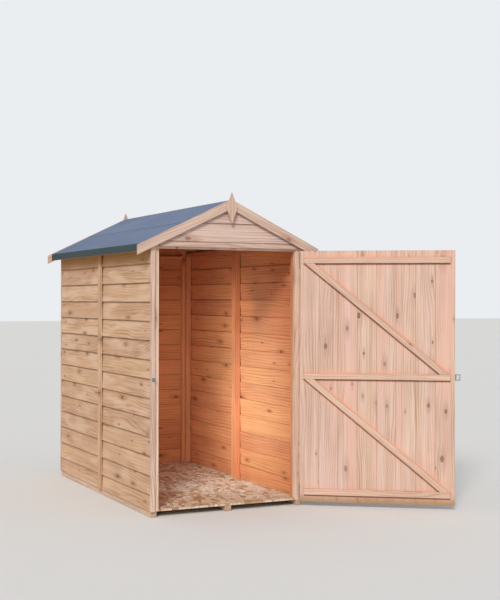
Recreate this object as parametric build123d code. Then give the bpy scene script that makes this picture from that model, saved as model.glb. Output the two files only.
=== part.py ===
"""Wooden garden shed with lapped walls, an apex felt roof and one ledged door.

Millimetres. Origin on the level ground under the middle bearer, at the centre of the plan.
X points to the right seen from the front, Y to the back, Z up. The door stands open.
"""
from build123d import *
import math
import os

# Body
body_width = 1010.0
body_length = 1820.0
wall_height = 1625.0

# Base
bearer_width = 38.0
bearer_height = 34.0
outer_bearer_inset = 5.0
floor_thickness = 11.0

# Lapped wall boards
board_thickness = 8.0
lap_exposure = 112.7
lap_cover = 12.0
wall_foot_exposure = 97.5
gable_foot_exposure = 33.0
gable_foot_rise = 12.0

# Framing
stud = 28.0
panel_joint = 0.6
post_face = 55.0
back_post_width = 61.0
trim_width = 27.0
header_drop = 53.0
side_strip_width = 54.0
side_strip_thickness = 12.0

# Roof
roof_pitch = 25.6
eaves_overhang = 64.0
roof_board = 9.0
felt_thickness = 2.0
felt_drop = 43.0
felt_lap_from_ridge = 302.0
felt_lap_width = 75.0
gable_overhang = 8.0
batten_distance = 250.0
felt_ramp = 20.0

# Barge boards and finials
barge_overhang = 28.0
barge_depth = 52.5
barge_thickness = 12.0
barge_rise = 1.0
finial_height = 190.0
finial_width = 70.0
finial_rise = 44.0
finial_thickness = 12.0

# Door
door_bottom = 30.0
door_head_cover = 3.0
door_board_thickness = 11.0
door_stop_gap = 5.0
door_edge_gap = 6.0
door_hinge_gap = 7.0
door_open_angle = 145.0
ledge_height = 37.5
ledge_thickness = 16.0
ledge_clearance = 5.0
top_ledge_drop = 40.0
middle_ledge_height = 785.5
bottom_ledge_height = 74.0
brace_foot = 60.0
brace_end_inset = 3.0

# Hinges
leaf_thickness = 2.0
knuckle_radius = 4.0
pin_radius = 2.5
pin_clearance = 0.05
strap_root_width = 28.0
strap_tip_width = 14.0
strap_length = 250.0
plate_height = 90.0
plate_edge = 2.0
knuckle_gap = 0.5

# Latch
hasp_width = 33.0
hasp_height = 40.0
hasp_base = 40.0
hasp_standoff = 7.0
slot_width = 14.0
slot_height = 26.0
staple_width = 16.0
staple_rod = 4.0
staple_reach = 18.0
keep_plate = 23.0

# Sizes that follow
half_width = body_width / 2
half_length = body_length / 2
cladding_depth = 2 * board_thickness
frame_x = half_width - cladding_depth
frame_y = half_length - cladding_depth
post_inner = half_width - post_face
back_inner = frame_x - back_post_width
trim_inner = half_width - trim_width
slope = math.tan(math.radians(roof_pitch))
slope_length = 1 / math.cos(math.radians(roof_pitch))
floor_top = bearer_height + floor_thickness
header_height = wall_height - header_drop
roof_end = half_length + gable_overhang
roof_half_width = half_width + eaves_overhang
barge_half_width = roof_half_width + barge_overhang
board_under = wall_height + frame_x * slope
felt_under = board_under + roof_board * slope_length
apex_height = felt_under + felt_thickness * slope_length
latch_height = middle_ledge_height + ledge_height / 2

parts = {}


def block(x_low, x_high, y_low, y_high, z_low, z_high):
    """A box between two corners."""
    centre = ((x_low + x_high) / 2, (y_low + y_high) / 2, (z_low + z_high) / 2)
    return Pos(*centre) * Box(x_high - x_low, y_high - y_low, z_high - z_low)


def profile(points, direction):
    """A closed outline of straight lines, pulled along a direction."""
    face = make_face(Polyline(*points, close=True))
    return extrude(face, amount=direction.length, dir=direction.normalized())


def front_view(points, y_low, y_high):
    """A solid with its outline in X and Z."""
    return profile([(x, y_low, z) for x, z in points], Vector(0, y_high - y_low, 0))


def side_view(points, x_low, x_high):
    """A solid with its outline in Y and Z."""
    return profile([(x_low, y, z) for y, z in points], Vector(x_high - x_low, 0, 0))


def mirrored(points):
    """An outline's points on the other side of the ridge."""
    return [(-x, z) for x, z in points]


def roof_line(x, apex):
    """Height of a roof plane at a distance from the ridge."""
    return apex - abs(x) * slope


def rafter_line(x):
    """Height of the roof boards' underside."""
    return roof_line(x, board_under)


def lap_heights(foot_exposure, foot, top):
    """Lower edges of the lapped boards, from the foot up."""
    edges = [foot]
    edge = foot + foot_exposure
    while edge < top - lap_cover:
        edges.append(edge)
        edge += lap_exposure
    return edges


def lapped_outline(foot_exposure, foot, top):
    """Section of boards that lap downwards: depth outwards from the frame, and height."""
    edges = lap_heights(foot_exposure, foot, top)
    board = lap_exposure + lap_cover
    outside = []
    inside = []
    for edge, above in zip(edges, edges[1:] + [top]):
        head = edge + board if edge > foot else above + lap_cover
        rise = head - edge

        def lean(height):
            return board_thickness * (1 - (height - edge) / rise)

        start = edge if edge == foot else edge + lap_cover
        end = min(above + lap_cover, top)
        outside += [(board_thickness + lean(edge), edge), (board_thickness + lean(above), above)]
        inside += [(lean(start), start), (max(lean(end), 0.0), end)]
    return outside + inside[::-1]


def put(name, *solids):
    """Keep a piece's solids under its name."""
    parts[name] = solids[0] if len(solids) == 1 else Compound(children=list(solids))


def base():
    """Three bearers from front to back, and the floor notched round the front posts."""
    reach = half_width - outer_bearer_inset
    starts = (-reach, -bearer_width / 2, reach - bearer_width)
    put("floor_bearers", *[block(x, x + bearer_width, -frame_y, frame_y, 0, bearer_height) for x in starts])
    floor = block(-frame_x, frame_x, -frame_y, frame_y, bearer_height, floor_top)
    for side in (-1, 1):
        low, high = sorted((side * post_inner, side * frame_x))
        floor -= block(low, high, -frame_y, stud - frame_y, bearer_height, floor_top)
    put("floor_board", floor)


def side_walls():
    """Front and rear lapped panels on each side, their studs, rails and joint strips."""
    top = rafter_line(half_width)
    joint = panel_joint / 2
    outline = lapped_outline(wall_foot_exposure, bearer_height, top)
    for name, side in (("left", -1), ("right", 1)):
        section = [(side * (frame_x + depth), z) for depth, z in outline]
        put(f"{name}_wall_front_panel", front_view(section, -frame_y, -joint))
        put(f"{name}_wall_rear_panel", front_view(section, joint, frame_y))
        low, high = sorted((side * post_inner, side * frame_x))
        stud_top = wall_height - stud
        places = (stud - frame_y, -joint - stud, joint, frame_y - 2 * stud)
        put(f"{name}_wall_studs", *[block(low, high, y, y + stud, floor_top, stud_top) for y in places])
        ends = ((stud - frame_y, -joint), (joint, frame_y - stud))
        put(f"{name}_wall_rails", *[block(low, high, y, end, stud_top, wall_height) for y, end in ends])
        strip = [(side * half_width, bearer_height), (side * (half_width + side_strip_thickness), bearer_height)]
        strip += [(x, rafter_line(x)) for x, z in strip[::-1]]
        put(f"{name}_joint_strip", front_view(strip, -side_strip_width / 2, side_strip_width / 2))


def end_walls():
    """Posts, trims, header and gable of the front, and the closed back wall."""
    back_trims = []
    back_posts = []
    for name, side in (("left", -1), ("right", 1)):
        post = [(side * post_inner, bearer_height), (side * frame_x, bearer_height)]
        post += [(x, rafter_line(x)) for x, z in post[::-1]]
        put(f"front_post_{name}", front_view(post, -frame_y, stud - frame_y))
        trim = [(side * trim_inner, bearer_height), (side * half_width, bearer_height)]
        trim += [(x, rafter_line(x)) for x, z in trim[::-1]]
        put(f"front_trim_{name}", front_view(trim, -half_length, -frame_y))
        back_trims.append(front_view(trim, frame_y, half_length))
        corner = [(side * back_inner, floor_top), (side * frame_x, floor_top)]
        corner += [(x, rafter_line(x)) for x, z in corner[::-1]]
        back_posts.append(front_view(corner, frame_y - stud, frame_y))
    put("back_trims", *back_trims)
    put("back_posts", *back_posts)
    front = gable_cladding(gable_foot_exposure, header_height + gable_foot_rise, post_inner)
    put("front_gable_boards", Rot(0, 0, 180) * front)
    put("door_header", block(-post_inner, post_inner, -frame_y, stud - frame_y,
                             header_height, header_height + stud))
    put("back_wall_boards", gable_cladding(wall_foot_exposure, bearer_height, trim_inner))
    back_low, back_high = frame_y - stud, frame_y
    put("back_middle_stud", block(-stud / 2, stud / 2, back_low, back_high, floor_top, header_height))
    put("back_rail", block(-back_inner, back_inner, back_low, back_high, header_height, header_height + stud))
    drop = stud * slope_length
    for place, y, reach in (("front", -frame_y, post_inner), ("back", back_low, back_inner)):
        rafter = [(x, rafter_line(x)) for x in (panel_joint / 2, reach)]
        rafter += [(x, z - drop) for x, z in rafter[::-1]]
        put(f"{place}_rafters", *[front_view(line, y, y + stud) for line in (rafter, mirrored(rafter))])


def gable_cladding(foot_exposure, foot, reach):
    """Lapped boards of the back wall, cut to the roof's slope above and to the trims at the sides."""
    outline = lapped_outline(foot_exposure, foot, apex_height)
    boards = side_view([(frame_y + depth, z) for depth, z in outline], -reach, reach)
    cut = [(-reach, foot), (reach, foot), (reach, rafter_line(reach)), (0, rafter_line(0))]
    cut.append((-reach, rafter_line(reach)))
    return boards & front_view(cut, frame_y, half_length)


def roof():
    """Board panels on each side of the ridge, their battens, and the felt in three strips."""
    rails = []
    battens = []
    for name, side in (("left", -1), ("right", 1)):
        panel = [(0, felt_under), (0, board_under)]
        edge = side * (roof_half_width - felt_thickness)
        panel += [(edge, rafter_line(edge)), (edge, roof_line(edge, felt_under))]
        put(f"roof_panel_{name}", front_view(panel, -roof_end, roof_end))
        foot = roof_line(roof_half_width, apex_height) - felt_drop
        rail = [(x, rafter_line(x)) for x in (edge, edge - side * stud)]
        rail += [(x, foot) for x, z in rail[::-1]]
        rails.append(front_view(rail, -roof_end, roof_end))
        for distance in (panel_joint / 2, batten_distance):
            line = [(side * x, rafter_line(x)) for x in (distance, distance + stud / slope_length)]
            line += [(x, z - stud) for x, z in line[::-1]]
            battens.append(front_view(line, stud - frame_y, frame_y - stud))
        put(f"felt_{name}", front_view(side_felt(side), -roof_end, roof_end))
    put("felt_ridge", front_view(ridge_felt(), -roof_end, roof_end))
    put("eaves_rails", *rails)
    put("roof_battens", *battens)


def side_felt(side):
    """Lower felt strip of one slope, turned down over the eaves."""
    start = felt_lap_from_ridge - felt_lap_width
    outer = roof_half_width
    inner = roof_half_width - felt_thickness
    foot = roof_line(outer, apex_height) - felt_drop
    points = [(start, roof_line(start, apex_height)), (outer, roof_line(outer, apex_height))]
    points += [(outer, foot), (inner, foot), (inner, roof_line(inner, felt_under))]
    points.append((start, roof_line(start, felt_under)))
    return [(side * x, z) for x, z in points]


def ridge_felt():
    """Upper felt strip over the ridge, lapped over the lower strips."""
    over = apex_height + felt_thickness * slope_length
    step = felt_lap_from_ridge - felt_lap_width
    lap = felt_lap_from_ridge
    ramp = step - felt_ramp
    right = [(0, apex_height), (ramp, roof_line(ramp, apex_height)), (step, roof_line(step, over))]
    right += [(lap, roof_line(lap, over)), (lap, roof_line(lap, apex_height))]
    right += [(step, roof_line(step, apex_height)), (step, roof_line(step, felt_under)), (0, felt_under)]
    return right + mirrored(right[1:-1])[::-1]


def barges():
    """Barge boards at both ends of the roof, with a diamond finial over each joint."""
    top = apex_height + felt_thickness * slope_length + barge_rise
    drop = barge_depth * slope_length
    board = [(0, top), (barge_half_width, roof_line(barge_half_width, top))]
    board += [(x, z - drop) for x, z in board[::-1]]
    tip = apex_height + finial_rise
    middle = tip - finial_height / 2
    diamond = [(0, tip), (finial_width / 2, middle), (0, tip - finial_height)]
    diamond.append((-finial_width / 2, middle))
    barge_face = roof_end + barge_thickness
    for place, side in (("front", -1), ("back", 1)):
        low, high = sorted((side * roof_end, side * barge_face))
        put(f"{place}_barge_right", front_view(board, low, high))
        put(f"{place}_barge_left", front_view(mirrored(board), low, high))
        low, high = sorted((side * barge_face, side * (barge_face + finial_thickness)))
        put(f"{place}_finial", front_view(diamond, low, high))


# Door places when closed
door_free_edge = -trim_inner + door_edge_gap
door_hinge_edge = trim_inner - door_hinge_gap
door_inner_face = -frame_y - door_stop_gap
door_outer_face = door_inner_face - door_board_thickness
door_top = header_height + door_head_cover
ledge_face = door_inner_face + ledge_thickness
ledge_reach = post_inner - ledge_clearance
top_ledge_height = door_top - top_ledge_drop - ledge_height
pivot_x = (door_hinge_edge + trim_inner) / 2
pivot_y = door_outer_face - knuckle_radius


def swung(shape):
    """A door piece turned from closed to the open pose, about the hinge pins."""
    return Pos(pivot_x, pivot_y, 0) * Rot(0, 0, door_open_angle) * Pos(-pivot_x, -pivot_y, 0) * shape


def door():
    """Upright boards with three ledges and two braces on the inner face."""
    boards = block(door_free_edge, door_hinge_edge, door_outer_face, door_inner_face, door_bottom, door_top)
    put("door_boards", swung(boards))
    heights = (bottom_ledge_height, middle_ledge_height, top_ledge_height)
    bays = zip(heights, heights[1:])
    ledges = [block(-ledge_reach, ledge_reach, door_inner_face, ledge_face, z, z + ledge_height)
              for z in heights]
    put("door_ledges", *[swung(ledge) for ledge in ledges])
    put("door_braces", *[swung(brace(low + ledge_height, high)) for low, high in bays])


def brace(foot, head):
    """A diagonal from the upper hinge corner down to the free edge, between two ledges."""
    outer = ledge_reach - brace_end_inset
    inner = outer - brace_foot
    return front_view([(-outer, foot), (-inner, foot), (outer, head), (inner, head)], door_inner_face, ledge_face)


def on_pin(radius, z_low, z_high):
    """A cylinder on the hinge pin's axis."""
    return Pos(pivot_x, pivot_y, (z_low + z_high) / 2) * Cylinder(radius, z_high - z_low)


def hinge_strap(z):
    """Tapered strap on the door's outer face, with its knuckle."""
    low, high = z - strap_root_width / 2, z + strap_root_width / 2
    tip = pivot_x - strap_length
    root = pivot_x - knuckle_radius - leaf_thickness
    outline = [(root, low), (root, high), (tip, z + strap_tip_width / 2), (tip, z - strap_tip_width / 2)]
    leaf = front_view(outline, door_outer_face - leaf_thickness, door_outer_face)
    neck = block(root, pivot_x, door_outer_face - leaf_thickness, door_outer_face, low, high)
    return leaf + neck + on_pin(knuckle_radius, low, high) - on_pin(pin_radius + pin_clearance, low, high)


def hinge_plate(z):
    """Upright plate on the trim, with two knuckles and the pin."""
    low, high = z - plate_height / 2, z + plate_height / 2
    inner = strap_root_width / 2 + knuckle_gap
    face = (door_outer_face - leaf_thickness, door_outer_face)
    start = pivot_x + knuckle_radius + 2 * knuckle_gap
    solid = block(start, half_width - plate_edge, *face, low, high)
    for a, b in ((low, z - inner), (z + inner, high)):
        solid += block(pivot_x, start, *face, a, b)
        solid += on_pin(knuckle_radius, a, b)
    return solid + on_pin(pin_radius, low, high)


def hinges():
    """A strap hinge at the top ledge and another at the bottom ledge."""
    heights = [z + ledge_height / 2 for z in (bottom_ledge_height, top_ledge_height)]
    put("hinge_straps", *[swung(hinge_strap(z)) for z in heights])
    put("hinge_plates", *[hinge_plate(z) for z in heights])


def latch():
    """Slotted hasp on the door's free edge, and its staple on the left trim."""
    low, high = latch_height - hasp_height / 2, latch_height + hasp_height / 2
    near = door_outer_face - leaf_thickness
    far = near - hasp_standoff
    hasp = block(door_free_edge, door_free_edge + hasp_base, near, door_outer_face, low, high)
    hasp += block(door_free_edge, door_free_edge + leaf_thickness, far, near, low, high)
    hasp += block(door_free_edge - hasp_width, door_free_edge + leaf_thickness,
                  far, far + leaf_thickness, low, high)
    slot_x = door_free_edge - hasp_width / 2
    hasp -= Pos(slot_x, far, latch_height) * Box(slot_width, 2 * hasp_standoff, slot_height)
    put("door_hasp", swung(hasp))
    plate = block(slot_x - keep_plate / 2, slot_x + keep_plate / 2, near, door_outer_face,
                  latch_height - keep_plate / 2, latch_height + keep_plate / 2)
    half = staple_width / 2
    loop = block(slot_x - staple_rod / 2, slot_x + staple_rod / 2, near - staple_reach, near,
                 latch_height - half, latch_height + half)
    loop -= block(slot_x - staple_rod, slot_x + staple_rod, near - staple_reach + staple_rod, near,
                  latch_height - half + staple_rod, latch_height + half - staple_rod)
    put("latch_staple", plate + loop)


base()
side_walls()
end_walls()
roof()
barges()
door()
hinges()
latch()

os.makedirs("parts", exist_ok=True)
for name, shape in parts.items():
    export_step(shape, f"parts/{name}.step")
print(len(parts), "pieces written")
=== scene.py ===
"""Looks of a small wooden garden shed: lapped boards, felt roof, ledged door, light and camera. Metres."""
import math
import random

import bpy
from mathutils import Matrix, Vector, noise


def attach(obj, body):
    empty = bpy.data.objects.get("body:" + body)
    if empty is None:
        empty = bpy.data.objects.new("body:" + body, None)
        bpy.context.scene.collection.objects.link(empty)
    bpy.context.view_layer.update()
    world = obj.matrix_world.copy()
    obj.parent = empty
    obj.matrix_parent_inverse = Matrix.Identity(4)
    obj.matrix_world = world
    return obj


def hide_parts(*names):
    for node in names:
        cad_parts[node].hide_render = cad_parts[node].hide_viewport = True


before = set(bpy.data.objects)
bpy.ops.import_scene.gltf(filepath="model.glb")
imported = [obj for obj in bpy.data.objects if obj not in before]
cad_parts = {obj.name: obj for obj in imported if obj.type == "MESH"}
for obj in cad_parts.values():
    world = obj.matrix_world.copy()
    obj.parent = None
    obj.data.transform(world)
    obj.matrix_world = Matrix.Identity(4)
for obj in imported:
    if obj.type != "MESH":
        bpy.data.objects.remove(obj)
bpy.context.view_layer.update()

rng = random.Random(11)

# Walls, as in the CAD. Places on X and Y are from the middle of the shed.
HALF_X, HALF_Y = .505, .910
BOARD = .008
FRAME_X, FRAME_Y = HALF_X - 2 * BOARD, HALF_Y - 2 * BOARD
FOOT, FLOOR_TOP, WALL_TOP = .034, .045, 1.625
EXPOSURE, COVER = .1127, .012
WALL_FIRST, GABLE_FIRST, GABLE_RISE = .0975, .033, .012
STUD = .028
POST_X, TRIM_X, BACK_X = .450, .478, .428
HEADER = 1.572
JOINT = .0003  # half the gap where two panels or rafters meet
STRIP_HALF, STRIP_FACE = .027, HALF_X + .012
BEARER_WIDE, BEARER_INSET = .038, .005

# Roof
PITCH = math.radians(25.6)
SLOPE, COS, SIN = math.tan(PITCH), math.cos(PITCH), math.sin(PITCH)
ROOF_X, ROOF_Y = .569, .918
ROOF_BOARD, FELT, FELT_DROP = .009, .002, .043
FELT_START, FELT_LAP = .227, .302
PURLIN_X = .250
# Heights at the ridge: under the boards, on the sloping felts and on the ridge felt
BOARD_UNDER = WALL_TOP + FRAME_X * SLOPE
APEX = BOARD_UNDER + ROOF_BOARD / COS + FELT / COS
OVER = APEX + FELT / COS
HEM_FOOT = APEX - ROOF_X * SLOPE - FELT_DROP
BARGE_TOP = OVER + .001
BARGE_X, BARGE_DEPTH, BARGE_THICK = .597, .0525, .012
BARGE_FACE = ROOF_Y + BARGE_THICK
FINIAL_WIDE, FINIAL_TALL, FINIAL_THICK = .070, .190, .012
FINIAL_MIDDLE = APEX + .044 - FINIAL_TALL / 2

# Door, when closed, and its turn about the hinge pins
PIVOT = Vector((.4745, -.914, 0))
OPEN = math.radians(145)
DOOR_LOW, DOOR_HIGH = .030, 1.575
DOOR_FREE, DOOR_HINGE = -.472, .471
DOOR_OUT, DOOR_IN = -.910, -.899
DOOR_BOARDS = 8
MATCH = (DOOR_HINGE - DOOR_FREE) / DOOR_BOARDS
LEDGE_X, LEDGE_H = .445, .0375
LEDGE_FACE = DOOR_IN + .016
LEDGES = (.074, .7855, 1.4975)
BRACE_X, BRACE_FOOT = LEDGE_X - .003, .060
BRACES = [(LEDGES[0] + LEDGE_H, LEDGES[1]), (LEDGES[1] + LEDGE_H, LEDGES[2])]
HINGES = (LEDGES[0] + LEDGE_H / 2, LEDGES[2] + LEDGE_H / 2)
LATCH = LEDGES[1] + LEDGE_H / 2
PLATE_FACE = DOOR_OUT - .002

# Details: the broken edge of planed wood, how far wear reaches from an edge, the widest gap between the
# points of a board's section, how deep the rim of a nail's head sits, and how far in nails stand from the
# ends of boards and the edges of the felt
TRIM_EDGE, FADE, WIDEST, SUNK, NAIL_IN = .0015, .004, .04, .0004, .014


def brace_lean(low, high):
    """Cosine and sine of a brace's angle from level."""
    steep = math.atan2(high - low, 2 * BRACE_X - BRACE_FOOT)
    return math.cos(steep), math.sin(steep)


class Tree:
    """The node tree of a material or world, with short calls for its nodes."""

    def __init__(self, owner):
        self.owner = owner
        owner.use_nodes = True
        self.nodes, self.links = owner.node_tree.nodes, owner.node_tree.links
        self.nodes.clear()

    def node(self, kind, inputs=None, **props):
        """A node with its inputs linked or set."""
        n = self.nodes.new("ShaderNode" + kind)
        for k, v in props.items():
            setattr(n, k, v)
        for k, v in (inputs or {}).items():
            if isinstance(v, bpy.types.NodeSocket):
                self.links.new(v, n.inputs[k])
            else:
                n.inputs[k].default_value = v
        return n

    def attr(self, name, out):
        return self.node("Attribute", attribute_name=name).outputs[out]

    def math(self, op, a, b=0.0, clamp=False):
        return self.node("Math", {0: a, 1: b}, operation=op, use_clamp=clamp).outputs[0]

    def times(self, *factors):
        """A product of two or more values."""
        product = factors[0]
        for factor in factors[1:]:
            product = self.math("MULTIPLY", product, factor)
        return product

    def vec(self, op, a, b=(0, 0, 0)):
        n = self.node("VectorMath", {0: a, 1: b}, operation=op)
        return n.outputs["Value" if op == "LENGTH" else "Vector"]

    def noise(self, vector, scale, detail=2.0, rough=.5, out="Fac"):
        return self.node("TexNoise", {"Vector": vector, "Scale": scale, "Detail": detail,
                                      "Roughness": rough}).outputs[out]

    def voronoi(self, vector, scale, out="Distance", feature="F1"):
        return self.node("TexVoronoi", {"Vector": vector, "Scale": scale}, voronoi_dimensions="2D",
                         feature=feature).outputs[out]

    def level(self):
        """Height over the ground."""
        return self.node("SeparateXYZ", {0: self.node("TexCoord").outputs["Object"]}).outputs[2]

    def span(self, value, a, b, to_a=0.0, to_b=1.0, smooth=False):
        """The value's place between two numbers, carried over to two others."""
        kind = "SMOOTHSTEP" if smooth else "LINEAR"
        n = self.node("MapRange", {"Value": value, "From Min": a, "From Max": b, "To Min": to_a,
                                   "To Max": to_b}, interpolation_type=kind)
        return n.outputs["Result"]

    def mix(self, fac, a, b):
        """Two colours mixed by a share."""
        n = self.node("Mix", data_type="RGBA", clamp_factor=True)
        for i, v in ((0, fac), (6, a), (7, b)):
            if isinstance(v, bpy.types.NodeSocket):
                self.links.new(v, n.inputs[i])
            else:
                n.inputs[i].default_value = v if i == 0 else (*v[:3], 1)
        return n.outputs[2]

    def finish(self, colour, rough, height=None, depth=.001, **fixed):
        """The shader, with a bump where a height is given."""
        inputs = {"Base Color": colour, "Roughness": rough}
        inputs.update({k.replace("_", " "): v for k, v in fixed.items()})
        if height is not None:
            inputs["Normal"] = self.node("Bump", {"Height": height, "Strength": 1.0,
                                                  "Distance": depth}).outputs[0]
        shader = self.node("BsdfPrincipled", inputs)
        self.node("OutputMaterial", {"Surface": shader.outputs[0]})
        return self.owner


def srgb(r, g, b):
    """Linear colour of an 8-bit one."""
    return tuple(((v / 255 + .055) / 1.055) ** 2.4 if v > 10 else v / 3294.6 for v in (r, g, b))


def paint_ledge_shading(t, colour, bands, patch):
    """The door's boards at its ledges and braces: a painted warm light beside them and a painted shadow just
    below them.
    """
    flat = t.node("SeparateXYZ", {0: t.attr("flat", "Vector")}).outputs
    within = t.math("LESS_THAN", t.math("ABSOLUTE", flat[0]), LEDGE_X)
    # For each bar: how far the point is under its lower edge, its width, and whether the point is at its length
    bars = [(t.math("SUBTRACT", low, flat[1]), LEDGE_H, within) for low in LEDGES]
    for low, high in BRACES:
        c, s = brace_lean(low, high)
        under = t.math("ADD", t.times(flat[0], s), t.times(t.math("SUBTRACT", low, flat[1]), c))
        under = t.math("ADD", under, BRACE_X * s - BRACE_FOOT * s)
        between = t.times(t.math("GREATER_THAN", flat[1], low), t.math("LESS_THAN", flat[1], high))
        bars.append((under, BRACE_FOOT * s, between))
    # Painted shadow just under each bar, and painted warm light beside it: strong above, faint below
    painted_shade = warm = 0.0
    for under, thick, here in bars:
        below = t.times(t.math("GREATER_THAN", under, -.002), here)
        painted_shade = t.math("MAXIMUM", painted_shade, t.times(t.span(under, .003, .016, 1, 0, True), below))
        over = t.math("SUBTRACT", -thick, under)
        above = t.times(t.math("GREATER_THAN", over, -.002), here)
        warm = t.math("MAXIMUM", warm, t.times(t.span(over, 0, .03, 1, 0), above))
        warm = t.math("MAXIMUM", warm, t.times(t.span(under, .01, .04, .4, 0), below))
    # The painted light and shadow go on the ledged face only, at uneven strength
    inside = t.math("GREATER_THAN", flat[2], (DOOR_OUT + DOOR_IN) / 2)
    warm = t.times(warm, inside, t.span(patch, .35, .65, .1, .62))
    colour = t.mix(warm, colour, srgb(240, 172, 142))
    painted_shade = t.times(painted_shade, inside, t.span(bands, .3, .7, .55, .85))
    return t.mix(painted_shade, colour, srgb(122, 70, 40))


def wood(name, light, dark, knot, amount, streak, tone, wear_and_shade, rough, sawn=0.0, cells=(2.6, 8.0), size=1.0,
         rings=52, figure=.16, smear=.45, foot=None, shade=None, blush=(), painted_ledge_shading=False):
    """Softwood: growth rings that arch and part round knots, a tone for each board, rubbed edges, painted shade
    under laps.

    cells and amount say how many knots there are, and smear how far they discolour the grain. blush lists tints
    in streaks along the grain, foot is painted shade that darkens the lower edge, shade is painted shade that
    darkens the wood on one side of a height, and the last flag paints shadow just under the door's ledges and
    braces and warm light beside them.
    """
    t = Tree(bpy.data.materials.new(name))
    at = t.attr("grain", "Vector")
    own = t.attr("tone", "Fac")
    # Knots: at most one to a cell, with a ragged rim, a paler heart in some and a smear along the grain
    scale = (cells[0], cells[1], 1)
    scaled = t.vec("MULTIPLY", at, scale)
    cell = t.node("TexVoronoi", {"Vector": scaled, "Scale": 1.0, "Randomness": .9}, voronoi_dimensions="2D")
    off = t.vec("DIVIDE", t.vec("SUBTRACT", scaled, cell.outputs["Position"]), scale)
    luck = t.node("SeparateColor", {0: cell.outputs["Color"]})
    ragged = t.times(t.math("SUBTRACT", t.noise(at, 140, 1), .5), .005)
    dist = t.math("ADD", t.vec("LENGTH", t.vec("MULTIPLY", off, (.55, 1, 0))), ragged)
    trail = t.math("ADD", t.vec("LENGTH", t.vec("MULTIPLY", off, (.3, 1, 0))), ragged)
    spread = t.math("POWER", luck.outputs[1], 2.0)
    radius = t.times(t.span(spread, 0, 1, .0028, .0125), size)
    there = t.math("LESS_THAN", luck.outputs[0], amount)
    ratio = t.math("DIVIDE", dist, radius)
    core = t.times(t.span(ratio, .7, 1.15, 1, 0, True), there)
    heart = t.times(t.span(ratio, .2, .8, .4, 0, True), t.math("GREATER_THAN", luck.outputs[2], .45))
    core = t.math("SUBTRACT", core, t.times(heart, there), clamp=True)
    halo = t.times(t.span(t.math("DIVIDE", trail, radius), .7, 3.0, 1, 0, True), there)
    # Rings: late wood in bands that bend round the knots, over fine fibres and broad streaks
    parts = t.node("SeparateXYZ", {0: off})
    push = t.times(parts.outputs[1], halo, -.7)
    at2 = t.vec("ADD", at, t.node("CombineXYZ", {1: push}).outputs[0])
    across = t.node("SeparateXYZ", {0: at2})
    drift = t.times(t.noise(t.vec("MULTIPLY", at2, (1.3, 5.5, 5.5)), 1, 2, .45), figure)
    place = t.math("ADD", t.math("ADD", across.outputs[1], t.times(across.outputs[2], .6)), drift)
    late = t.span(t.math("SINE", t.times(place, rings * 2 * math.pi)), -.1, .95, 0, 1, True)
    strong = t.span(t.noise(t.vec("MULTIPLY", at2, (2.4, 9, 9)), 1, 2), .35, .65, .15, 1)
    late = t.times(late, strong)
    bands = t.noise(t.vec("MULTIPLY", at2, (2.2, 75, 60)), 1, 3, .55)
    fibre = t.noise(t.vec("MULTIPLY", at2, (14, 420, 420)), 1, 2, .6)
    wide = t.noise(t.vec("MULTIPLY", at2, (.9, 17, 10)), 1, 2, .5)
    line = t.math("ADD", t.times(late, .6), t.times(t.span(bands, .35, .68), .45))
    line = t.math("ADD", line, t.times(t.math("SUBTRACT", wide, .4), .8))
    line = t.math("ADD", line, t.times(t.math("SUBTRACT", fibre, .5), .5))
    line = t.math("MULTIPLY", line, streak, clamp=True)
    # Colour
    colour = t.mix(line, light, dark)
    patch = t.noise(at, 3.5, 2)
    uneven = t.math("ADD", t.span(patch, .3, .7, -.06, .06), t.span(own, 0, 1, -tone / 2, tone / 2))
    value = t.math("ADD", uneven, 1)
    hue = t.span(own, 0, 1, .496, .504)
    colour = t.node("HueSaturation", {"Hue": hue, "Value": value, "Color": colour}).outputs[0]
    for tint, along, over, share in blush:
        streaks = t.noise(t.vec("MULTIPLY", at, (along, over, over * .6)), 1, 1)
        colour = t.mix(t.span(streaks, .48, .68, 0, share), colour, tint)
    colour = t.mix(t.times(halo, smear), colour, t.mix(.35, dark, knot))
    colour = t.mix(t.times(core, t.span(luck.outputs[2], 0, 1, .35, .95)), colour, knot)
    # Darker rubbed edges, and on lapped boards a painted shade just under the board above, both from the edge
    # attribute
    edge = t.times(t.attr("edge", "Fac"), wear_and_shade)
    patchiness = t.span(t.noise(at, 45, 2), .3, .7, .55, 1.0)
    edge_tint = tuple(c * k for c, k in zip(dark, (.42, .33, .25)))
    colour = t.mix(t.times(edge, patchiness), colour, edge_tint)
    # Painted shade at the foot of the door: darker and yellower towards the bottom
    if foot:
        low, high, share, tint = foot
        ragged_up = t.math("ADD", t.level(), t.times(t.math("SUBTRACT", bands, .5), .05))
        colour = t.mix(t.span(ragged_up, low, high, share, 0, True), colour, tint)
    if shade:
        low, high, share, tint = shade
        colour = t.mix(t.span(t.level(), low, high, 0, share, True), colour, tint)
    # Painted shadow under the door's ledges and braces, and painted warm light beside them
    if painted_ledge_shading:
        colour = paint_ledge_shading(t, colour, bands, patch)
    # Relief
    height = t.math("ADD", t.times(bands, .4), t.times(fibre, .3))
    height = t.math("ADD", height, t.times(late, .25))
    if sawn:
        marks = t.noise(t.vec("MULTIPLY", at, (700, 60, 60)), 1, 2)
        height = t.math("ADD", height, t.times(marks, sawn))
    height = t.math("SUBTRACT", height, t.times(core, .25))
    roughness = t.span(line, 0, 1, rough + .08, rough - .08)
    return t.finish(colour, roughness, height, .0007, Specular_IOR_Level=.3)


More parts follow.
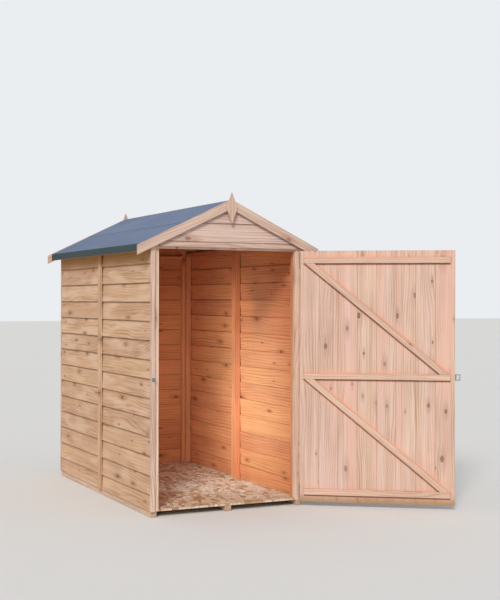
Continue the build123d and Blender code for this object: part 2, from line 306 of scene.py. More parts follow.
def flakes(name, tints, gap):
    """Board pressed from wood flakes that lie mostly along the sheet, in layers turned this way and that."""
    t = Tree(bpy.data.materials.new(name))
    at = t.node("TexCoord").outputs["Object"]
    colour, height = tints[0], 0.0
    wobble = t.vec("MULTIPLY", t.noise(at, 22, 2, out="Color"), (.3, .3, 0))
    for i, turn in enumerate((1.2, 1.95, .8, 1.5, 2.3, 1.7)):
        move = {"Vector": at, "Rotation": (0, 0, turn), "Location": (i * .31, i * .17, 0)}
        turned = t.vec("MULTIPLY", t.node("Mapping", move).outputs[0], (11, 36, 1))
        bent = t.vec("ADD", turned, wobble)
        luck = t.node("SeparateColor", {0: t.voronoi(bent, 1.0, "Color")})
        here = t.math("GREATER_THAN", luck.outputs[0], .5)
        tint = t.mix(luck.outputs[1], tints[i % len(tints)], tints[(i + 2) % len(tints)])
        lined = t.noise(t.vec("MULTIPLY", turned, (.3, 5, 1)), 1, 2)
        own = t.mix(t.span(lined, .35, .65, 0, .22), tint, gap)
        rim = t.span(t.voronoi(bent, 1.0, feature="DISTANCE_TO_EDGE"), 0, .07, .75, 0)
        colour = t.mix(here, colour, t.mix(rim, own, gap))
        height = t.math("ADD", height, t.times(here, t.span(luck.outputs[2], 0, 1, .1, .4)))
    rough = t.span(t.noise(at, 60, 2), .3, .7, .65, .85)
    return t.finish(colour, rough, height, .0006, Specular_IOR_Level=.3)


def felt(name, base, light, dark):
    """Mineral-faced roofing felt: packed slate grains, with faint clouds and streaks along the roll."""
    t = Tree(bpy.data.materials.new(name))
    at = t.node("TexCoord").outputs["Object"]
    grains = t.node("TexVoronoi", {"Vector": at, "Scale": 520.0})
    luck = t.node("SeparateColor", {0: grains.outputs["Color"]}).outputs[0]
    colour = t.mix(t.span(luck, 0, 1, 0, .5), base, light)
    colour = t.mix(t.times(t.math("GREATER_THAN", luck, .82), .6), colour, dark)
    cloud = t.noise(t.vec("MULTIPLY", at, (5, 1.1, 5)), 1, 3)
    colour = t.mix(t.span(cloud, .35, .7, 0, .3), colour, dark)
    speck = t.noise(at, 90, 2)
    colour = t.mix(t.span(speck, .55, .75, 0, .25), colour, light)
    height = t.math("ADD", t.times(luck, .5), t.span(grains.outputs["Distance"], 0, .8, .5, 0))
    return t.finish(colour, t.span(cloud, .3, .7, .85, .97), height, .0006, Specular_IOR_Level=.2)


def zinc(name, base, rough):
    """Zinc-plated steel: faint spangle, dull patches."""
    t = Tree(bpy.data.materials.new(name))
    at = t.node("TexCoord").outputs["Object"]
    spangle = t.node("TexVoronoi", {"Vector": at, "Scale": 240.0})
    luck = t.node("SeparateColor", {0: spangle.outputs["Color"]}).outputs[0]
    dull = t.noise(at, 40, 3)
    value = t.math("ADD", t.span(luck, 0, 1, base * .85, base * 1.15), t.span(dull, .3, .7, -.08, .05))
    colour = t.node("CombineColor", {0: value, 1: value, 2: t.times(value, 1.03)}).outputs[0]
    height = t.math("ADD", t.times(luck, .2), dull)
    return t.finish(colour, t.span(dull, .3, .7, rough - .1, rough + .15), height, .0002, Metallic=.9)


# Materials
ROUGH_SAWN = dict(amount=.5, tone=.1, sawn=.35, cells=(3.9, 9.5))
OUTSIDE = dict(light=srgb(218, 179, 146), dark=srgb(165, 118, 82), knot=srgb(104, 58, 34), streak=.75, wear_and_shade=.8,
               rough=.78, blush=((srgb(232, 199, 172), 3.2, 15, .5),), **ROUGH_SAWN)
# Side boards: darker and browner towards the top, painted shade under the eaves
SIDE = wood("side_boards", shade=(1.45, 1.54, .85, srgb(178, 124, 60)), **OUTSIDE)
# The boards' inner faces: the same wood in a warmer orange, painted warm light of the room
INSIDE = wood("side_boards_inside", srgb(229, 151, 100), srgb(172, 93, 52), srgb(96, 44, 22), streak=.62,
              wear_and_shade=.5, rough=.75, rings=58, figure=.09, **(ROUGH_SAWN | {"sawn": .3}))
# Gable boards: the lowest one darker, painted shade
GABLE = wood("gable_boards", srgb(226, 200, 187), srgb(170, 136, 119), srgb(124, 84, 62), amount=.4, streak=.8,
             tone=.1, wear_and_shade=.5, rough=.75, sawn=.3, cells=(2.6, 9.0), rings=60, figure=.12,
             shade=(1.621, 1.60, .32, srgb(150, 112, 84)))
PLANED = dict(knot=srgb(118, 76, 54), amount=.35, tone=.1, rough=.62, cells=(2.4, 11.0), size=.8, rings=62)
TRIM = wood("trim_wood", srgb(223, 194, 177), srgb(166, 127, 105), streak=.8, wear_and_shade=.14, **PLANED)
# A lighter copy of the trim wood for the front posts and header: painted light, lifting them out of the shade
# of the trims and gable
POST = wood("post_wood", srgb(237, 206, 185), srgb(184, 143, 117), streak=.75, wear_and_shade=.1, **PLANED)
# Framing in the same warm orange as the boards' inner faces, painted warm light of the room
FRAMING = wood("framing_wood", srgb(231, 154, 104), srgb(174, 96, 56), srgb(96, 44, 22), amount=.4, streak=.6,
               tone=.16, wear_and_shade=.4, rough=.7, cells=(2.4, 11.0), size=.7, rings=70, figure=.1)
BEARER = wood("bearer_wood", srgb(220, 190, 168), srgb(170, 132, 106), srgb(100, 66, 46), amount=.4, streak=.6,
              tone=.2, wear_and_shade=.4, rough=.8, sawn=.3)
# The door's wood, with painted shadow under its ledges and braces and painted warm light beside them
DOOR = wood("door_wood", srgb(221, 190, 172), srgb(172, 130, 104), srgb(88, 52, 34), amount=.6, streak=.85,
            tone=.1, wear_and_shade=.3, rough=.6, cells=(3.2, 9.0), size=1.1, rings=64, figure=.12, smear=.28,
            # foot: painted shade, darker towards the bottom of the door
            foot=(.04, .09, .8, srgb(160, 124, 84)), painted_ledge_shading=True,
            blush=((srgb(226, 180, 164), .35, 9, .6), (srgb(229, 205, 199), .8, 21, .4)))
LEDGE = wood("ledge_wood", srgb(220, 186, 166), srgb(172, 130, 104), srgb(110, 68, 44), amount=.35, streak=.75,
             tone=.08, wear_and_shade=.2, rough=.6, cells=(1.8, 11.0), size=.8, rings=60, figure=.14)
BACK = wood("back_boards", **OUTSIDE)
SHEET = flakes("flake_board", [srgb(209, 178, 148), srgb(233, 213, 190), srgb(192, 153, 117),
                               srgb(246, 238, 226), srgb(172, 128, 90), srgb(219, 191, 163)],
               srgb(124, 86, 58))
FELT_TOP = felt("felt_slope", srgb(112, 126, 154), srgb(142, 156, 184), srgb(84, 96, 122))
# The same felt in a darker, greener copy for the turned-down hems and cut edges: painted shade
FELT_HEM = felt("felt_hem", srgb(64, 78, 80), srgb(88, 102, 104), srgb(44, 56, 58))
ZINC = zinc("zinc_plate", .34, .5)
# A dark copy of the zinc: painted shade in the screws' cross recesses and on the nails in the hems
DARK = zinc("screw_recess", .12, .6)


class Piece:
    """Collects boards, each with its own grain, tone, rubbed edges and painted shade under laps, into one
    object.
    """

    def __init__(self, name, slot, body, replaces, *materials, smooth=False):
        self.verts, self.faces, self.mats = [], [], []
        self.grain, self.tone, self.edge, self.flat = [], [], [], []
        self.name, self.slot, self.body, self.nodes = name, slot, body, replaces
        self.materials, self.smooth = materials, smooth

    def add(self, verts, faces, mats, grain, tone, edge):
        start = len(self.verts)
        self.verts += [tuple(v) for v in verts]
        self.faces += [tuple(start + i for i in f) for f in faces]
        self.mats += mats
        self.grain += grain
        self.tone += [tone] * len(verts)
        self.edge += edge

    def make(self):
        mesh = bpy.data.meshes.new(self.name)
        mesh.from_pydata(self.verts, [], self.faces)
        for m in self.materials:
            mesh.materials.append(m)
        mesh.polygons.foreach_set("material_index", self.mats)
        mesh.polygons.foreach_set("use_smooth", [self.smooth] * len(self.faces))
        for name, vectors in (("grain", self.grain), ("flat", self.flat)):
            if vectors:
                layer = mesh.attributes.new(name, "FLOAT_VECTOR", "POINT")
                layer.data.foreach_set("vector", [c for v in vectors for c in v])
        for name, values in (("tone", self.tone), ("edge", self.edge)):
            mesh.attributes.new(name, "FLOAT", "POINT").data.foreach_set("value", values)
        mesh.validate()
        mesh.update()
        obj = bpy.data.objects.new(self.name, mesh)
        bpy.context.scene.collection.objects.link(obj)
        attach(obj, self.body)
        if self.nodes:
            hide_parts(*self.nodes)
        return obj


def section(corners, chamfer, painted_shade):
    """Cross-section (v, w, darkening) of a board from its corners, with broken edges and painted shade on the
    outer side.
    """
    points = []
    for i, corner in enumerate(corners):
        here = Vector(corner)
        before, after = Vector(corners[i - 1]) - here, Vector(corners[(i + 1) % len(corners)]) - here
        points.append((*(here + before.normalized() * chamfer), 1.0))
        points.append((*(here + after.normalized() * chamfer), 1.0))
        if i == 1 and painted_shade:
            points.append((*(here + after.normalized() * FADE), 0.0))
            points += [(*(here + after * share), darkening) for share, darkening in painted_shade]
        elif after.length > 3 * FADE:
            points.append((*(here + after.normalized() * FADE), 0.0))
            parts = max(1, int(after.length / WIDEST)) + 1
            for share in (k / parts for k in range(1, parts)):
                if FADE < share * after.length < after.length - FADE:
                    points.append((*(here + after * share), 0.0))
            points.append((*(here + after.normalized() * (after.length - FADE)), 0.0))
    return points


def tube(rings, n):
    """Quads between rings of n points each."""
    return [(k * n + i, k * n + (i + 1) % n, (k + 1) * n + (i + 1) % n, (k + 1) * n + i)
            for k in range(rings - 1) for i in range(n)]


def bar(piece, corners, start, end, place, inner=None, chamfer=.0008, step=.07, bow=0.0, painted_shade=()):
    """A board along u with corners (v, w), put in place by a function of (u, v, w).

    Its ends may depend on v. The second material goes below inner, a function of v. bow bends the board a
    little.
    """
    ring = section(corners, chamfer, painted_shade)
    middle = Vector((sum(p[0] for p in ring), sum(p[1] for p in ring))) / len(ring)
    begin = start if callable(start) else lambda v: start
    stop = end if callable(end) else lambda v: end
    length = max(stop(v) - begin(v) for v, w, e in ring)
    count = max(2, int(length / step))
    marks = [0, 0, FADE / length] + [i / count for i in range(1, count)] + [1 - FADE / length, 1, 1]
    offset = (rng.uniform(0, 40), rng.uniform(0, 40), rng.uniform(0, 40))
    tone = rng.random()
    seed = rng.uniform(0, 100)
    verts, grain, edge = [], [], []
    n, last = len(ring), len(marks) - 1
    for k, mark in enumerate(marks):
        for v, w, e in ring:
            a, b = begin(v), stop(v)
            u = a + (b - a) * mark
            if k in (0, last):
                pull = Vector((v, w)) - middle
                v, w = Vector((v, w)) - pull.normalized() * min(chamfer, pull.length * .5)
                u = begin(v) if k == 0 else stop(v)
            elif k in (1, last - 1):
                u += chamfer if k == 1 else -chamfer
            elif bow:
                v += bow * noise.noise(Vector((u * 3.1, seed, 0)))
            verts.append(place(u, v, w))
            grain.append((u + offset[0], v + offset[1], w + offset[2]))
            edge.append(1.0 if k in (0, 1, last - 1, last) else e)
    faces = tube(len(marks), n) + [tuple(range(n))[::-1], tuple(last * n + i for i in range(n))]
    sides = [int(inner is not None and (p[1] + q[1]) / 2 < inner((p[0] + q[0]) / 2))
             for p, q in zip(ring, ring[1:] + ring[:1])]
    corner, beside, along = (Vector(verts[i]) for i in (n, n + 1, 2 * n))
    centre = sum((Vector(p) for p in verts[n:2 * n]), Vector()) / n
    if (beside - corner).cross(along - corner).dot(corner - centre) < 0:
        faces = [f[::-1] for f in faces]
    piece.add(verts, faces, sides * last + [0, 0], grain, tone, edge)


def beam(piece, axis, low, high, end=None, **options):
    """A straight piece between two corners, with its grain along an axis."""
    u = "xyz".index(axis)
    v, w = [i for i in range(3) if i != u]

    def place(a, b, c):
        p = [0, 0, 0]
        p[u], p[v], p[w] = a, b, c
        return p
    corners = [(low[v], low[w]), (high[v], low[w]), (high[v], high[w]), (low[v], high[w])]
    bar(piece, corners, low[u], high[u] if end is None else end, place, **options)


def roof_line(x, ridge=BOARD_UNDER):
    """Height at x of a line that follows the roof: the boards' underside, or one from another ridge."""
    return ridge - abs(x) * SLOPE


def rising(side, a, b):
    """Two places out from the middle, on one side of the shed, the lower one first."""
    return sorted((side * a, side * b))


def swung(p, angle=OPEN):
    """A closed door's point turned to the open pose about the hinge pins, or back by the opposite angle."""
    x, y = p[0] - PIVOT.x, p[1] - PIVOT.y
    c, s = math.cos(angle), math.sin(angle)
    return PIVOT.x + x * c - y * s, PIVOT.y + x * s + y * c, p[2]


def laps(foot, first, top):
    """(lower edge, head) of each lapped board."""
    edges = [foot]
    edge = foot + first
    while edge < top - COVER:
        edges.append(edge)
        edge += EXPOSURE
    return [(e, e + EXPOSURE + COVER if e > foot else e + first + COVER) for e in edges]


def lapped(piece, foot, first, top, start, end, place):
    """A wall of lapped boards, each leaning on the head of the one below, with painted shade just under the one
    above.
    """
    for low, head in laps(foot, first, top):
        rise = head - low
        high = min(head, top)
        tall = high - low

        def lean(z):
            return BOARD * (1 - (z - low) / rise)
        corners = [(low, lean(low)), (low, lean(low) + BOARD), (high, lean(high) + BOARD), (high, lean(high))]
        covered = (rise - COVER) / tall
        painted_shade = [(share * min(covered, 1), 0.0) for share in (.3, .6)]
        if covered < 1:
            # The painted shade begins 12 mm under the next board's edge and is full at it
            painted_shade += [(covered - .012 / tall, 0.0), (covered - .003 / tall, .7), (covered, 1.0)]
        bar(piece, corners, start, end, place, inner=lambda z: lean(z) + BOARD / 2, bow=.0012, step=.05,
            painted_shade=painted_shade)


def square_to(out):
    """A unit vector along a direction, and two square to it."""
    out = Vector(out).normalized()
    a = out.orthogonal().normalized()
    return out, a, out.cross(a)


def nails(piece, spots, radius=.0016, mat=0, tall=.0006, sides=8):
    """Small domed heads at (point, outward direction)."""
    turns = [2 * math.pi * i / sides for i in range(sides)]
    for point, out in spots:
        out, a, b = square_to(out)
        verts = [Vector(point) + (a * math.cos(turn) + b * math.sin(turn)) * radius * r + out * h
                 for r, h in ((1, -SUNK), (1, tall * .5), (.7, tall * .9)) for turn in turns]
        verts.append(Vector(point) + out * tall)
        dome = [(2 * sides + i, 2 * sides + (i + 1) % sides, 3 * sides) for i in range(sides)]
        faces = tube(3, sides) + dome + [tuple(range(sides))[::-1]]
        piece.add(verts, faces, [mat] * len(faces), [tuple(v) for v in verts], .5, [0.0] * len(verts))


def screws(piece, spots, radius=.004):
    """Cross-headed screws: a domed head and a dark cross, the painted shade of the recess."""
    tall = .0012
    nails(piece, spots, radius, tall=tall, sides=16)
    for point, out in spots:
        out, a, b = square_to(out)
        top = Vector(point) + out * (tall + .00005)
        for p, q in ((a, b), (b, a)):
            long, short = p * radius * .5, q * radius * .12
            verts = [top + s * long + r * short + out * h for h in (-SUNK, 0)
                     for s, r in ((1, 1), (-1, 1), (-1, -1), (1, -1))]
            faces = [(4, 5, 6, 7), (3, 2, 1, 0)] + tube(2, 4)
            piece.add(verts, faces, [1] * 6, [tuple(v) for v in verts], .5, [0.0] * 8)


# Side walls, with the posts and trims at their ends
SIDE_TOP = roof_line(HALF_X)
for name, side in (("left", -1), ("right", 1)):
    for part, y0, y1 in (("front", -FRAME_Y, -JOINT), ("rear", JOINT, FRAME_Y)):
        wall = Piece(f"{name}_{part}_boards", "wall_boards", "shed", [f"{name}_wall_{part}_panel"],
                     SIDE, INSIDE)
        lapped(wall, FOOT, WALL_FIRST, SIDE_TOP, y0, y1, lambda u, v, w: (side * (FRAME_X + w), u, v))
        wall.make()
    low, high = rising(side, POST_X, FRAME_X)
    studs = Piece(f"{name}_studs", "framing", "shed", [f"{name}_wall_studs"], FRAMING)
    for y in (STUD - FRAME_Y, -JOINT - STUD, JOINT, FRAME_Y - 2 * STUD):
        beam(studs, "z", (low, y, FLOOR_TOP), (high, y + STUD, WALL_TOP - STUD))
    studs.make()
    rails = Piece(f"{name}_rails", "framing", "shed", [f"{name}_wall_rails"], FRAMING)
    for y0, y1 in ((STUD - FRAME_Y, -JOINT), (JOINT, FRAME_Y - STUD)):
        beam(rails, "y", (low, y0, WALL_TOP - STUD), (high, y1, WALL_TOP))
    rails.make()
    for part, node, material, near, far, y0, y1, chamfer in (
            ("strip", f"{name}_joint_strip", SIDE, HALF_X, STRIP_FACE, -STRIP_HALF, STRIP_HALF, .0012),
            # The front posts in the lighter post wood: painted light
            ("front_post", f"front_post_{name}", POST, POST_X, FRAME_X, -FRAME_Y, STUD - FRAME_Y, .0012),
            ("front_trim", f"front_trim_{name}", TRIM, TRIM_X, HALF_X, -HALF_Y, -FRAME_Y, TRIM_EDGE)):
        low, high = rising(side, near, far)
        upright = Piece(f"{name}_{part}", "trim", "shed", [node], material)
        beam(upright, "z", (low, y0, FOOT), (high, y1, WALL_TOP), end=roof_line, chamfer=chamfer)
        upright.make()

trims = Piece("back_corner_trims", "trim", "shed", ["back_trims"], TRIM)
posts = Piece("back_corner_posts", "framing", "shed", ["back_posts"], FRAMING)
for side in (-1, 1):
    low, high = rising(side, TRIM_X, HALF_X)
    beam(trims, "z", (low, FRAME_Y, FOOT), (high, HALF_Y, WALL_TOP), end=roof_line, chamfer=TRIM_EDGE)
    low, high = rising(side, BACK_X, FRAME_X)
    beam(posts, "z", (low, FRAME_Y - STUD, FLOOR_TOP), (high, FRAME_Y, WALL_TOP), end=roof_line)
trims.make()
posts.make()


def gable_reach(z, limit):
    """Half length of a gable board at a height, under the roof's slope."""
    return max(.001, min(limit, (BOARD_UNDER - z) / SLOPE))


# Front gable and back wall, with their framing
for name, slot, node, material, limit, foot, first, out in (
        ("gable_front_boards", "gable_boards", "front_gable_boards", GABLE, POST_X, HEADER + GABLE_RISE,
         GABLE_FIRST, -1),
        ("back_boards", "wall_boards", "back_wall_boards", BACK, TRIM_X, FOOT, WALL_FIRST, 1)):
    wall = Piece(name, slot, "shed", [node], material, INSIDE)
    lapped(wall, foot, first, BOARD_UNDER, lambda z: -gable_reach(z, limit), lambda z: gable_reach(z, limit),
           lambda u, v, w: (u, out * (FRAME_Y + w), v))
    wall.make()

# The header in the lighter post wood: painted light
header = Piece("header", "trim", "shed", ["door_header"], POST)
beam(header, "x", (-POST_X, -FRAME_Y, HEADER), (POST_X, STUD - FRAME_Y, HEADER + STUD))
header.make()
inside = Piece("back_framing", "framing", "shed", ["back_middle_stud", "back_rail"], FRAMING)
beam(inside, "z", (-STUD / 2, FRAME_Y - STUD, FLOOR_TOP), (STUD / 2, FRAME_Y, HEADER))
beam(inside, "x", (-BACK_X, FRAME_Y - STUD, HEADER), (BACK_X, FRAME_Y, HEADER + STUD))
inside.make()


def sloped(piece, side, x0, x1, top, depth, y0, y1, **options):
    """A board that follows the roof, plumb at both ends. top is its upper line's height at the ridge."""
    def place(u, v, w):
        return side * (u * COS - v * SIN), w, top - u * SIN - v * COS
    corners = [(0, y0), (depth, y0), (depth, y1), (0, y1)]
    bar(piece, corners, lambda v: (x0 + v * SIN) / COS, lambda v: (x1 + v * SIN) / COS, place, **options)


# Roof timbers
for where, y, reach in (("front", -FRAME_Y, POST_X), ("back", FRAME_Y - STUD, BACK_X)):
    pair = Piece(f"{where}_rafter_pair", "framing", "shed", [f"{where}_rafters"], FRAMING)
    for side in (-1, 1):
        sloped(pair, side, JOINT, reach, BOARD_UNDER, STUD, y, y + STUD)
    pair.make()

purlins = Piece("roof_purlins", "framing", "shed", ["roof_battens"], FRAMING)
# The eaves boards take the side boards' wood, whose painted shade under the eaves darkens them
eaves = Piece("eaves_boards", "trim", "shed", ["eaves_rails"], SIDE)
for side in (-1, 1):
    for x in (JOINT, PURLIN_X):
        low, high = rising(side, x, x + STUD * COS)
        bar(purlins, [(low, 0), (high, 0), (high, STUD), (low, STUD)], STUD - FRAME_Y, FRAME_Y - STUD,
            lambda u, v, w: (v, u, roof_line(v) - w))
    low, high = rising(side, ROOF_X - FELT - STUD, ROOF_X - FELT)
    bar(eaves, [(low, HEM_FOOT), (high, HEM_FOOT), (high, roof_line(high)), (low, roof_line(low))],
        -ROOF_Y, ROOF_Y, lambda u, v, w: (v, u, w))
purlins.make()
eaves.make()

# Barge boards and finials
for where, out in (("front", -1), ("back", 1)):
    for name, side in (("left", -1), ("right", 1)):
        barge = Piece(f"{where}_{name}_barge", "trim", "shed", [f"{where}_barge_{name}"], TRIM)
        sloped(barge, side, 0, BARGE_X, BARGE_TOP, BARGE_DEPTH, *rising(out, ROOF_Y, BARGE_FACE),
               chamfer=TRIM_EDGE)
        barge.make()
    finial = Piece(f"{where}_diamond", "trim", "shed", [f"{where}_finial"], TRIM)
    diamond = [(0, FINIAL_TALL / 2), (FINIAL_WIDE / 2, 0), (0, -FINIAL_TALL / 2), (-FINIAL_WIDE / 2, 0)]
    y0, y1 = out * BARGE_FACE, out * (BARGE_FACE + FINIAL_THICK)
    rings = ((y0, .97), (y0 + out * .001, 1), (y1 - out * .0015, 1), (y1, .95), (y1, .8))
    verts = [(x * size, y, FINIAL_MIDDLE + z * size) for y, size in rings for x, z in diamond]
    edge = [1.0] * 16 + [0.0] * 4
    faces = tube(5, 4) + [(3, 2, 1, 0), (16, 17, 18, 19)]
    if out < 0:
        faces = [f[::-1] for f in faces]
    finial.add(verts, faces, [0] * len(faces), [(z + 7.3, x + 3.1, y) for x, y, z in verts], .7, edge)
    finial.make()


def felt_strip(name, node, line, hem=()):
    """Felt laid along a line of (x, z) over the roof's whole length, with slight waves.

    hem lists the parts of the line that are turned down at the eaves.
    """
    rows, m = 90, len(line)
    piece = Piece(name, "roof_felt", "shed", [node], FELT_TOP, FELT_HEM, smooth=True)
    normals = []
    for i in range(m):
        d = (Vector(line[min(i + 1, m - 1)]) - Vector(line[max(i - 1, 0)])).normalized()
        normals.append(Vector((-d.y, d.x)))
    verts = []
    for k in range(rows + 1):
        y = -ROOF_Y + 2 * ROOF_Y * k / rows
        waves = [.0007 * noise.noise(Vector((x * 6, y * 3, 1.7))) for x, z in line]
        for under in (0, FELT):
            verts += [(x + n.x * (wave - under), y, z + n.y * (wave - under))
                      for (x, z), n, wave in zip(line, normals, waves)]
    faces, mats = [], []
    for k in range(rows):
        a, b = k * 2 * m, (k + 1) * 2 * m
        for i in range(m - 1):
            faces += [(a + i, a + i + 1, b + i + 1, b + i),
                      (a + m + i, b + m + i, b + m + i + 1, a + m + i + 1)]
            mats += [int(i in hem)] * 2
        first, final = [(a + i, b + i, b + m + i, a + m + i) for i in (0, m - 1)]
        faces += [first, final[::-1]]
        mats += [int(0 in hem), 1]
    for base, turn in ((0, 1), (rows * 2 * m, -1)):
        faces += [(base + i, base + m + i, base + m + i + 1, base + i + 1)[::turn] for i in range(m - 1)]
        mats += [1] * (m - 1)
    piece.add(verts, faces, mats, [(0, 0, 0)] * len(verts), .5, [0.0] * len(verts))
    piece.make().data.set_sharp_from_angle(angle=math.radians(40))


# Roof felt: each strip's line runs from left to right, so the left one starts at its hem
bend = roof_line(ROOF_X - .006, APEX)
for name, side, hem in (("left", -1, range(5)), ("right", 1, range(6, 11))):
    line = [(side * x, roof_line(x, APEX)) for x in (FELT_START, .30, .38, .46, .52, ROOF_X - .006)]
    # Round the bend over the eaves, then down the hem
    line += [(side * (ROOF_X - .0022), bend - .0016), (side * (ROOF_X - .0004), bend - .006)]
    line += [(side * ROOF_X, HEM_FOOT + up) for up in (.034, .022, .010, 0)]
    felt_strip(f"felt_slope_{name}", f"felt_{name}", line[::side], hem)
half = [(0, OVER - .0035), (.006, roof_line(.006, OVER) - .0008)]
half += [(x, roof_line(x, OVER)) for x in (.02, .1, .2, .26, FELT_LAP)]
felt_strip("felt_over_ridge", "felt_ridge", [(-x, z) for x, z in half[:0:-1]] + half)

# Base
bearers = Piece("bearers", "bearers", "shed", ["floor_bearers"], BEARER)
for x in (BEARER_INSET - HALF_X, -BEARER_WIDE / 2, HALF_X - BEARER_INSET - BEARER_WIDE):
    beam(bearers, "y", (x, -FRAME_Y, 0), (x + BEARER_WIDE, FRAME_Y, FOOT), chamfer=TRIM_EDGE)
bearers.make()

# Door
door = Piece("door_matchboards", "door_wood", "door", ["door_boards"], DOOR)
for i in range(DOOR_BOARDS):
    x = DOOR_FREE + i * MATCH
    bar(door, [(x, DOOR_OUT), (x + MATCH, DOOR_OUT), (x + MATCH, DOOR_IN), (x, DOOR_IN)], DOOR_LOW, DOOR_HIGH,
        lambda u, v, w: swung((v, w, u)), chamfer=.0011)
for vert in door.verts:
    x, y, z = swung(vert, -OPEN)
    door.flat.append((x, z, y))
door.make()
ledges = Piece("door_ledge_bars", "door_wood", "door", ["door_ledges"], LEDGE)
for z in LEDGES:
    bar(ledges, [(z, DOOR_IN), (z + LEDGE_H, DOOR_IN), (z + LEDGE_H, LEDGE_FACE), (z, LEDGE_FACE)],
        -LEDGE_X, LEDGE_X, lambda u, v, w: swung((u, w, v)), chamfer=TRIM_EDGE)
ledges.make()
braces = Piece("door_brace_bars", "door_wood", "door", ["door_braces"], LEDGE)
for low, high in BRACES:
    c, s = brace_lean(low, high)
    wide = BRACE_FOOT * s
    bar(braces, [(0, DOOR_IN), (wide, DOOR_IN), (wide, LEDGE_FACE), (0, LEDGE_FACE)],
        lambda v: v * c / s, lambda v: (high - low + v * c) / s,
        lambda u, v, w: swung((-BRACE_X + u * c + v * s, w, low + u * s - v * c)), chamfer=TRIM_EDGE)
braces.make()

# Pieces shown as the CAD has them
for name, material in (("floor_board", SHEET), ("roof_panel_left", SHEET), ("roof_panel_right", SHEET),
                       ("hinge_straps", ZINC), ("hinge_plates", ZINC), ("door_hasp", ZINC),
                       ("latch_staple", ZINC)):
    for material_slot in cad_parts[name].material_slots:
        material_slot.material = material


def spaced(low, high, count):
    """Places evenly spaced between two ends."""
    return [low + (high - low) * i / (count - 1) for i in range(count)]


def board_nail(low, head):
    """Height of a nail in a lapped board, and how far the board's face stands out from the frame there."""
    up = .022
    return low + up, 2 * BOARD - BOARD * up / (head - low)


# Nails in the walls, the strips, the trims, the barge boards and the finials
wall_nails = Piece("wall_nails", "galvanised", "shed", [], ZINC, DARK)
spots = []
for side in (-1, 1):
    for z, face in (board_nail(*lap) for lap in laps(FOOT, WALL_FIRST, SIDE_TOP)):
        spots += [((side * (FRAME_X + face), y, z), (side, 0, 0))
                  for y in (NAIL_IN - FRAME_Y, FRAME_Y - NAIL_IN)]
# The back's topmost board is too short for nails
for z, face in (board_nail(*lap) for lap in laps(FOOT, WALL_FIRST, BOARD_UNDER - .06)):
    spots += [((x, FRAME_Y + face, z), (0, 1, 0)) for x in (-.462, 0, .462)
              if abs(x) < gable_reach(z, TRIM_X) - .02]
for side in (-1, 1):
    for z in (.12, .45, .78, 1.11, 1.44):
        spots += [((side * STRIP_FACE, y, z + dz), (side, 0, 0)) for y, dz in ((-.012, 0), (.012, .015))]
        spots += [((side * (HALF_X - .008), out * HALF_Y, z + .05), (0, out, 0)) for out in (-1, 1)]
    for out in (-1, 1):
        spots += [((side * x, out * BARGE_FACE, roof_line(x, BARGE_TOP) - down), (0, out, 0))
                  for x, down in ((.07, .016), (.30, .040), (.50, .016), (.56, .040))]
        spots.append(((0, out * (BARGE_FACE + FINIAL_THICK - .0007), FINIAL_MIDDLE + side * .045), (0, out, 0)))
nails(wall_nails, spots)
wall_nails.make()

# Broad-headed nails along the edges of the felt, bright on the slopes and dark on the hems as painted shade
felt_nails = Piece("felt_nails", "galvanised", "shed", [], ZINC, DARK)
spots = []
for side in (-1, 1):
    up = (side * SIN, 0, COS)
    for y in (NAIL_IN - ROOF_Y, ROOF_Y - NAIL_IN):
        spots += [((side * x, y, roof_line(x, APEX)), up) for x in spaced(.33, .53, 5)]
        spots += [((side * x, y, roof_line(x, OVER)), up) for x in spaced(.04, .28, 5)]
    x = FELT_LAP - .01
    spots += [((side * x, y, roof_line(x, OVER)), up) for y in spaced(-.85, .85, 24)]
nails(felt_nails, spots, .0042, tall=.0011, sides=10)
spots = [((side * ROOF_X, y, HEM_FOOT + NAIL_IN), (side, 0, 0))
         for side in (-1, 1) for y in spaced(-.88, .88, 13)]
nails(felt_nails, spots, .0042, mat=1, tall=.0011, sides=10)
felt_nails.make()

# Screws in the straps and the hasp, and nails in the ledges and braces from both faces of the door
door_fixings = Piece("door_fixings", "galvanised", "door", [], ZINC, DARK)
outward = Vector(swung((0, -1, 0))) - Vector(swung((0, 0, 0)))
turned = [(swung((x, PLATE_FACE, z)), outward) for z in HINGES for x in (.43, .38, .32, .25)]
turned += [(swung((DOOR_FREE + .031, PLATE_FACE, LATCH + dz)), outward) for dz in (-.011, .011)]
screws(door_fixings, turned)
driven = [(swung((DOOR_FREE + i * MATCH + dx, DOOR_OUT, z + LEDGE_H / 2)), outward)
          for z in LEDGES for i in range(DOOR_BOARDS) for dx in (.03, MATCH - .03)]
nails(door_fixings, [d for d in driven if all((Vector(d[0]) - Vector(t[0])).length >= .02 for t in turned)])
driven = [(swung((DOOR_FREE + (i + .5) * MATCH, LEDGE_FACE, z + LEDGE_H / 2)), -outward)
          for z in LEDGES for i in range(DOOR_BOARDS)]
for low, high in BRACES:
    c, s = brace_lean(low, high)
    run = math.hypot(high - low, 2 * BRACE_X - BRACE_FOOT)
    driven += [(swung((-BRACE_X + BRACE_FOOT / 2 + u * c, LEDGE_FACE, low + u * s)), -outward)
               for u in spaced(run / 12, run * 11 / 12, 6)]
nails(door_fixings, driven, .0014)
door_fixings.make()

# Screws in the hinge plates and the staple's plate
plates = Piece("plate_screws", "galvanised", "shed", [], ZINC, DARK)
for radius, places in ((.0035, [(.493, z + dz) for z in HINGES for dz in (-.033, 0, .033)]),
                       (.002, [(x, LATCH + dz) for x in (-.4965, -.4805) for dz in (-.008, .008)])):
    screws(plates, [((x, PLATE_FACE, z), (0, -1, 0)) for x, z in places], radius)
plates.make()

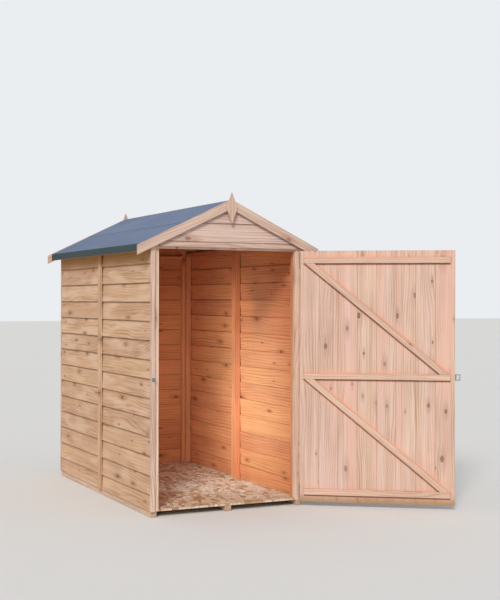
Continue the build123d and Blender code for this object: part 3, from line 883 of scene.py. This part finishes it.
# Stage: pale ground, and a world that is paler to the camera than as a light
FAR = 60
corners = [(x * FAR, y * FAR, -.0005) for x, y in ((-1, -1), (1, -1), (1, 1), (-1, 1))]
ground = bpy.data.meshes.new("stage_floor")
ground.from_pydata(corners, [], [(0, 1, 2, 3)])
paint = Tree(bpy.data.materials.new("stage_floor"))
ground.materials.append(paint.finish((.80, .80, .79, 1), .9, Specular_IOR_Level=.1))
floor_obj = bpy.data.objects.new("stage_floor", ground)
bpy.context.scene.collection.objects.link(floor_obj)

sky = Tree(bpy.data.worlds.new("studio"))
lit = sky.node("Background", {0: (.94, .96, 1.0, 1), 1: .50}).outputs[0]
seen = sky.node("Background", {0: (.83, .85, .88, 1), 1: 1}).outputs[0]
ray = sky.node("LightPath").outputs
direct = sky.math("MAXIMUM", ray["Is Camera Ray"], ray["Is Glossy Ray"])
direct = sky.math("MAXIMUM", direct, ray["Is Transmission Ray"])
sky.node("OutputWorld", {0: sky.node("MixShader", {0: direct, 1: lit, 2: seen}).outputs[0]})
bpy.context.scene.world = sky.owner


def lamp(name, kind, place, aim, energy, colour, **props):
    """A lamp that stands at a place and shines at another."""
    data = bpy.data.lights.new(name, kind)
    data.energy, data.color = energy, colour
    for k, v in props.items():
        setattr(data, k, v)
    obj = bpy.data.objects.new(name, data)
    obj.location = place
    obj.rotation_euler = (Vector(aim) - Vector(place)).to_track_quat("-Z", "Y").to_euler()
    bpy.context.scene.collection.objects.link(obj)
    return obj


# The sun, and the light that spreads in the room from the doorway
lamp("key", "SUN", (-5.5, -7.5, 6.2), (0, 0, 0), 2.15, (1.0, .96, .9), angle=math.radians(16))
for indoors in (
        lamp("inside_front", "AREA", (-.42, -.50, .67), (.489, -.16, .60), 4.8, (.54, .82, 1.0),
             shape="RECTANGLE", size=.16, size_y=.7, spread=math.radians(104)),
        lamp("inside_glow", "SPOT", (0, -.26, 1.13), (.47, .0, 1.17), 3.6, (1.0, .88, .62),
             spot_size=math.radians(70), spot_blend=1, shadow_soft_size=.05),
        lamp("inside_rear", "SPOT", (-.36, .05, .62), (.489, .50, .62), 5.5, (1.0, .80, .60),
             spot_size=math.radians(110), spot_blend=.8, shadow_soft_size=.08)):
    indoors.visible_camera = False

# Camera, from the calibration of the photograph: its focal length in pixels, place and turn
FOCUS, PICTURE_TALL, SENSOR = 1140.28, 600, 36
STANDS = (-2.891, -7.1219, 1.2685)
YAW, TILT, ROLL = math.radians(25.9668), math.radians(.0227), math.radians(.1165)
ahead = Vector((math.sin(YAW) * math.cos(TILT), math.cos(YAW) * math.cos(TILT), math.sin(TILT)))
right = Vector((math.cos(YAW), -math.sin(YAW), 0))
up = right.cross(ahead)
right, up = right * math.cos(ROLL) + up * math.sin(ROLL), up * math.cos(ROLL) - right * math.sin(ROLL)
camera_data = bpy.data.cameras.new("camera")
camera_data.sensor_width = SENSOR
camera_data.lens = FOCUS / PICTURE_TALL * SENSOR
camera = bpy.data.objects.new("camera", camera_data)
camera.matrix_world = Matrix.Translation(STANDS) @ Matrix((right, up, -ahead)).transposed().to_4x4()
bpy.context.scene.collection.objects.link(camera)
bpy.context.scene.camera = camera
bpy.context.scene.view_settings.view_transform = "Standard"
